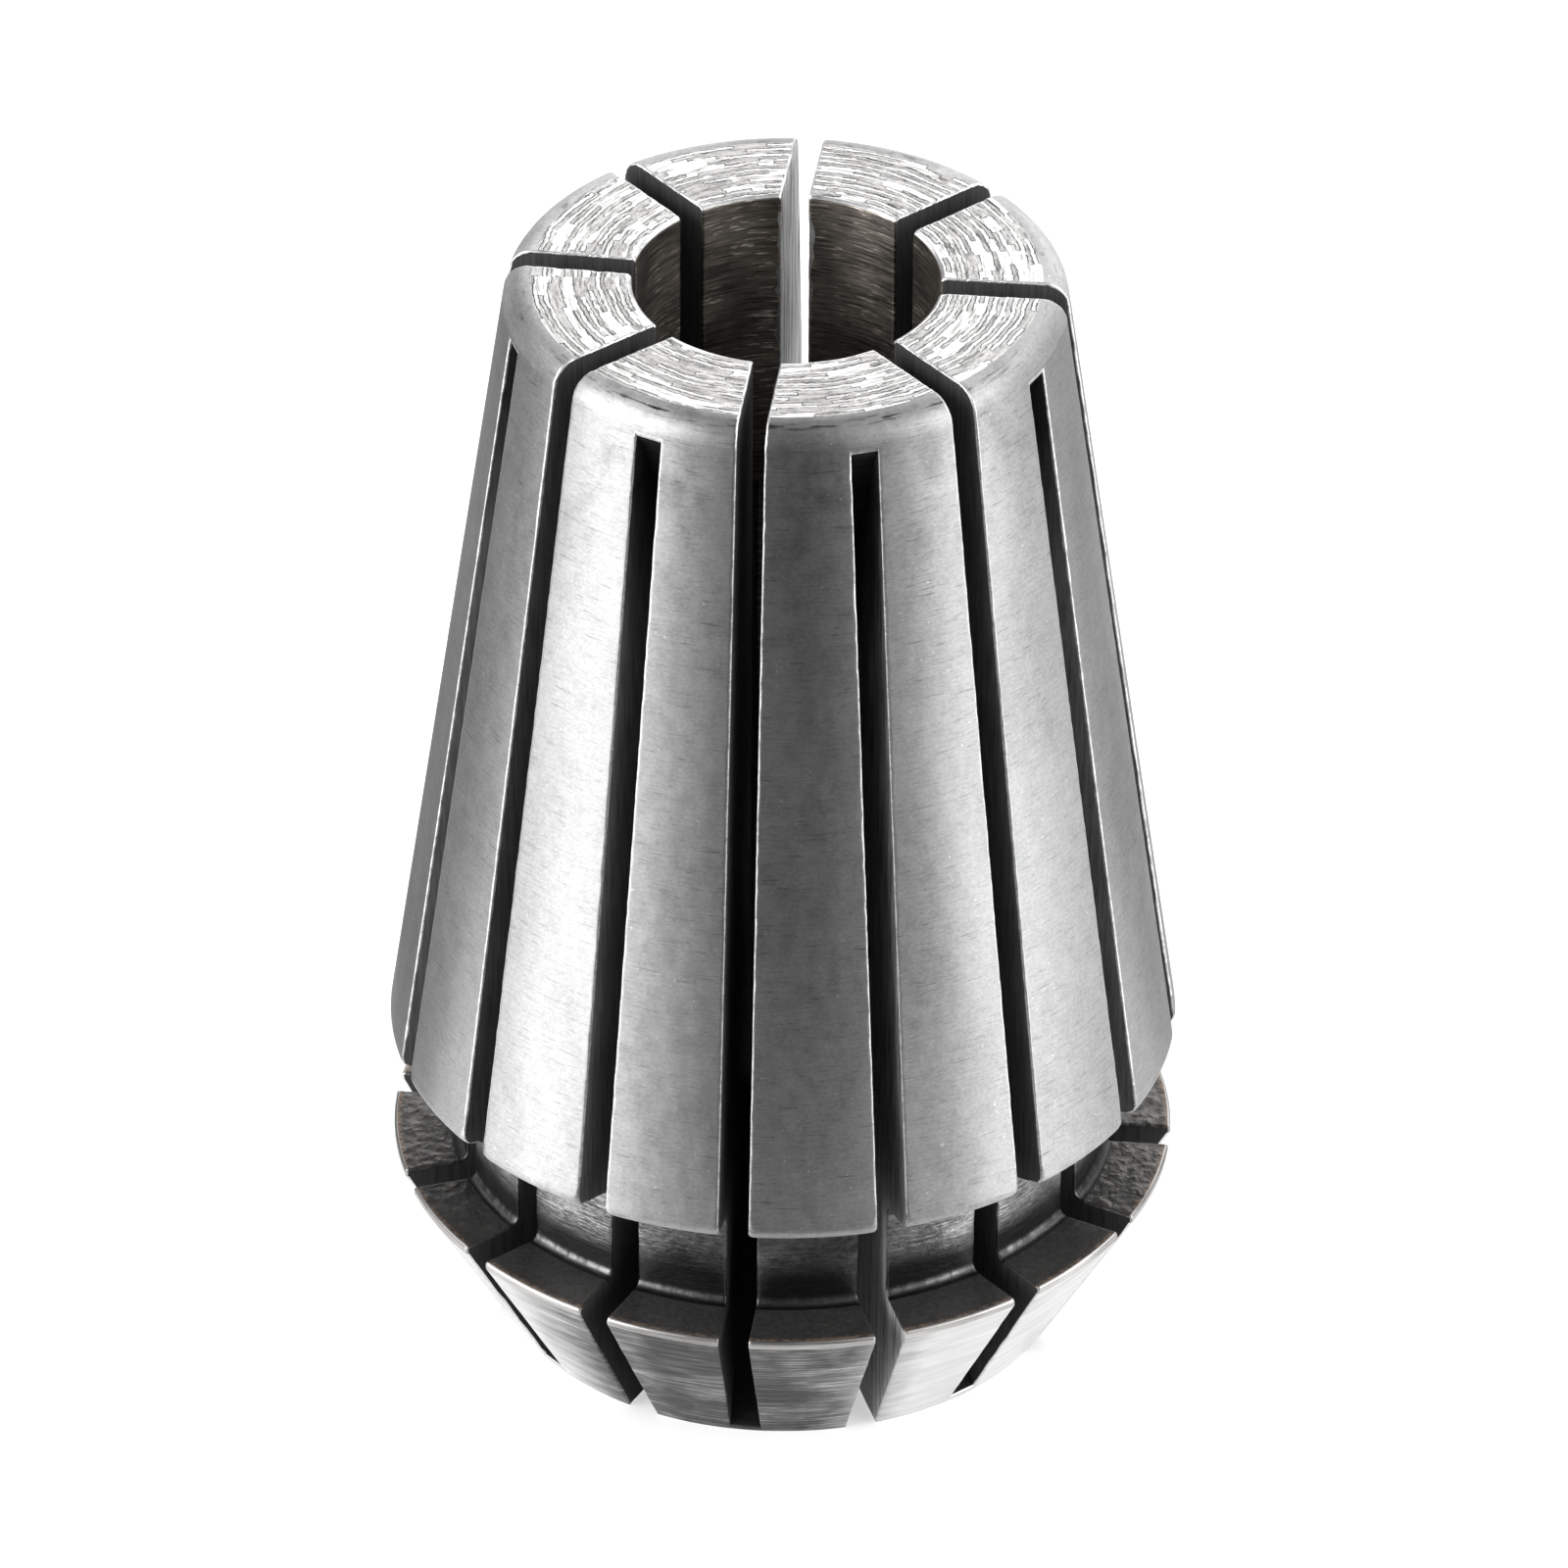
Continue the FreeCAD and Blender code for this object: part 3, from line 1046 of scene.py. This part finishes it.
def ring_steel(steel, scale, bare, rim, roughness):
    """The nose ring's upper face: brown scale in front, pebbled bare steel at the back, a rusty rim."""
    fine = steel.field(8, 8, roughness=0.6)
    pebbles = steel.field(3.4, 3.4)
    border = steel.plus(steel.y, steel.stray(steel.field(0.8, 0.8), 1.0))
    is_bare = steel.ramp(border, *SCALE_BORDER)
    scaled_shade = steel.stray(fine, 0.3 * scale, scale)
    bare_shade = steel.ramp(pebbles, *NARROWEST, 0.7 * bare, 1.2 * bare)
    shade = steel.grey(steel.blend(is_bare, scaled_shade, bare_shade), (1.0, 0.97, 0.94))
    rusty = steel.times(steel.ramp(steel.radius, *RUSTY_RADII), steel.ramp(fine, *RUSTED))
    mixed = steel.node("ShaderNodeMix", {0: rusty, 6: shade, 7: rim}, data_type="RGBA").outputs[2]
    relief = steel.blend(is_bare, steel.times(fine, 0.2), pebbles)
    steel.set(
        Base_Color=mixed, Metallic=steel.blend(is_bare, SCALE_METALLIC, 1.0),
        Roughness=steel.ramp(pebbles, *WIDE, roughness + 0.06, roughness - 0.08),
        Normal=steel.bump(relief, 0.1, 0.9))


def burred_steel(steel, dark, light, roughness):
    """The slots' broken edges, bright where they are burred and duller between."""
    along = steel.field(1.2, 2.6, detail=4, roughness=0.7)
    steel.set(
        Base_Color=steel.grey(steel.ramp(along, *BURR_BRIGHT, dark, light)),
        Roughness=steel.ramp(along, *WIDE, roughness + 0.1, roughness - 0.06),
        Normal=steel.bump(steel.field(5, 5, detail=2), 0.01, 0.5))
    steel.grain(0.4)


def sawn_steel(steel, shades, high, roughness, metallic, gloss, lines_per_mm, contrast, depth):
    """Slot walls: dark with scale, with the saw's lines along the slot."""
    nose, middle, small_end = shades
    place = steel.joined(
        steel.times(steel.radius, lines_per_mm), steel.times(steel.z, SAW_LINE_STRETCH * lines_per_mm))
    lines = steel.noise(place, detail=4, roughness=0.65)
    # The shades by height hold painted shade at the slots' ends, and on one slot painted light at the nose
    # end
    lower = steel.ramp(steel.z, *WALL_LOW, nose, middle)
    level = steel.blend(steel.ramp(steel.z, *high), lower, small_end)
    shade = steel.times(steel.stray(lines, contrast, 1.0, NARROW), level)
    steel.set(
        Base_Color=steel.grey(shade), Metallic=metallic, Specular_IOR_Level=gloss,
        Roughness=steel.ramp(lines, *WIDE, roughness - 0.05, roughness + 0.1),
        Normal=steel.bump(lines, depth, 0.8))


def dress(collet):
    """Gives each region of the collet its finish."""
    steels = {region: Finish(region) for region in REGIONS}
    streaked_steel(steels["nose_face"], brightness=0.5, roughness=0.4, spread=0.08)
    scale_and_shade_steel(steels["nose_cone"], brightness=0.66, roughness=0.4, spread=0.11, scale_and_shade=0.108)
    streaked_steel(steels["land"], brightness=0.46, roughness=0.36, spread=0.2, tint=(1.0, 0.98, 0.95))
    ring_steel(steels["ring_top"], scale=0.062, bare=0.15, rim=(0.28, 0.2, 0.15, 1), roughness=0.42)
    neck_steel(steels["neck"], dark=0.06, light=0.19, foot_highlight=0.2, roughness=0.38)
    rough_steel(steels["underside"], dark=0.06, light=0.15, roughness=0.5, tint=(1.0, 0.97, 0.94))
    ground_steel(steels["taper"], brightness=0.43, roughness=0.46)
    # The rounding's painted reflection makes it brighter away from the front
    ground_steel(steels["top_round"], brightness=0.45, roughness=0.48, smudges=0.38, painted_reflection=1.4)
    turned_steel(steels["top_face"], bright=0.98, grey=0.6, dark=0.1, roughness=0.42)
    bored_steel(steels["bore"], dark=0.1, light=0.36, roughness=0.42)
    burred_steel(steels["slot_edge"], dark=0.55, light=1.0, roughness=0.38)
    for region, values in SAWN_FACES.items():
        sawn_steel(steels[region], *values)
    for steel in steels.values():
        collet.data.materials.append(steel.material)


def make_camera():
    tilt = Matrix.Rotation(math.radians(90 - CAMERA_ELEVATION), 4, "X")
    roll = Matrix.Rotation(math.radians(CAMERA_ROLL), 4, "Z")
    place = (Vector((0, 0, AIM_HEIGHT)) + tilt.col[2].to_3d() * CAMERA_DISTANCE) * MM
    data = bpy.data.cameras.new("camera")
    data.lens = CAMERA_LENS
    data.sensor_width = SENSOR_WIDTH
    data.sensor_fit = "HORIZONTAL"
    data.clip_start = CLIP_START_M
    camera = add_object("camera", data)
    camera.matrix_world = Matrix.Translation(place) @ tilt @ roll
    bpy.context.scene.camera = camera


def make_softbox(name, azimuth, elevation, distance, width, height, radiance):
    around, up = math.radians(azimuth), math.radians(elevation)
    towards = Vector((math.sin(around) * math.cos(up), -math.cos(around) * math.cos(up), math.sin(up)))
    data = bpy.data.lights.new(name, "AREA")
    data.shape = "RECTANGLE"
    data.size = width * MM
    data.size_y = height * MM
    data.energy = radiance * math.pi * width * height * MM * MM
    lamp = add_object(name, data)
    lamp.location = (Vector((0, 0, AIM_HEIGHT)) + towards * distance) * MM
    lamp.rotation_euler = towards.to_track_quat("Z", "Y").to_euler()
    lamp.visible_camera = False


def seen_directly(tree):
    """1 for camera, glossy and transmission rays, and 0 for the rest."""
    path = tree.nodes.new("ShaderNodeLightPath")
    total = path.outputs["Is Camera Ray"]
    for name in ("Is Glossy Ray", "Is Transmission Ray"):
        add = tree.nodes.new("ShaderNodeMath")
        add.operation = "ADD"
        add.use_clamp = True
        tree.links.new(total, add.inputs[0])
        tree.links.new(path.outputs[name], add.inputs[1])
        total = add.outputs[0]
    return total


def make_sheet(name, ring, grey):
    """A flat matt surface through a ring of points, and its material's nodes."""
    mesh = bpy.data.meshes.new(name)
    mesh.from_pydata(ring, [], [tuple(range(len(ring)))])
    material = bpy.data.materials.new(name)
    material.use_nodes = True
    shader = material.node_tree.nodes["Principled BSDF"]
    shader.inputs["Base Color"].default_value = (grey, grey, grey, 1)
    shader.inputs["Roughness"].default_value = MATT
    mesh.materials.append(material)
    return add_object(name, mesh), material.node_tree


def make_floor():
    """The pale floor, lifted to white for the rays that see it directly."""
    half = FLOOR_SIZE_M / 2
    corners = [(-half, -half, 0), (half, -half, 0), (half, half, 0), (-half, half, 0)]
    floor, tree = make_sheet("floor", corners, FLOOR_GREY)
    shader = tree.nodes["Principled BSDF"]
    shader.inputs["Specular IOR Level"].default_value = 0.0
    shader.inputs["Emission Color"].default_value = (1, 1, 1, 1)
    lift = tree.nodes.new("ShaderNodeMath")
    lift.operation = "MULTIPLY"
    lift.inputs[1].default_value = FLOOR_LIFT
    tree.links.new(seen_directly(tree), lift.inputs[0])
    tree.links.new(lift.outputs[0], shader.inputs["Emission Strength"])


def make_world():
    world = bpy.data.worlds.new("studio")
    world.use_nodes = True
    background = world.node_tree.nodes["Background"]
    background.inputs["Color"].default_value = (1, 1, 1, 1)
    background.inputs["Strength"].default_value = WORLD_GREY
    bpy.context.scene.world = world


def card_edge(azimuths, distance, height):
    """Points at those azimuths, at one distance from the axis and one height, in metres."""
    return [(distance * math.sin(a) * MM, -distance * math.cos(a) * MM, height * MM) for a in azimuths]


def make_card(name, start, end, steps, edge, other_edge, grey):
    """A card between two azimuths that only shows in the metal."""
    azimuths = np.radians(np.linspace(start, end, steps + 1))
    card, _ = make_sheet(name, card_edge(azimuths, *edge) + card_edge(azimuths[::-1], *other_edge), grey)
    card.visible_camera = False
    card.visible_diffuse = False
    card.visible_shadow = False


def main():
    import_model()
    collet = make_collet()
    dress(collet)
    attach(collet, "root")
    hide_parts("collet")
    make_camera()
    for softbox in SOFTBOXES:
        make_softbox(*softbox)
    make_world()
    make_floor()
    for card in CARDS:
        make_card(*card)
    bpy.context.scene.view_settings.view_transform = "Standard"


main()
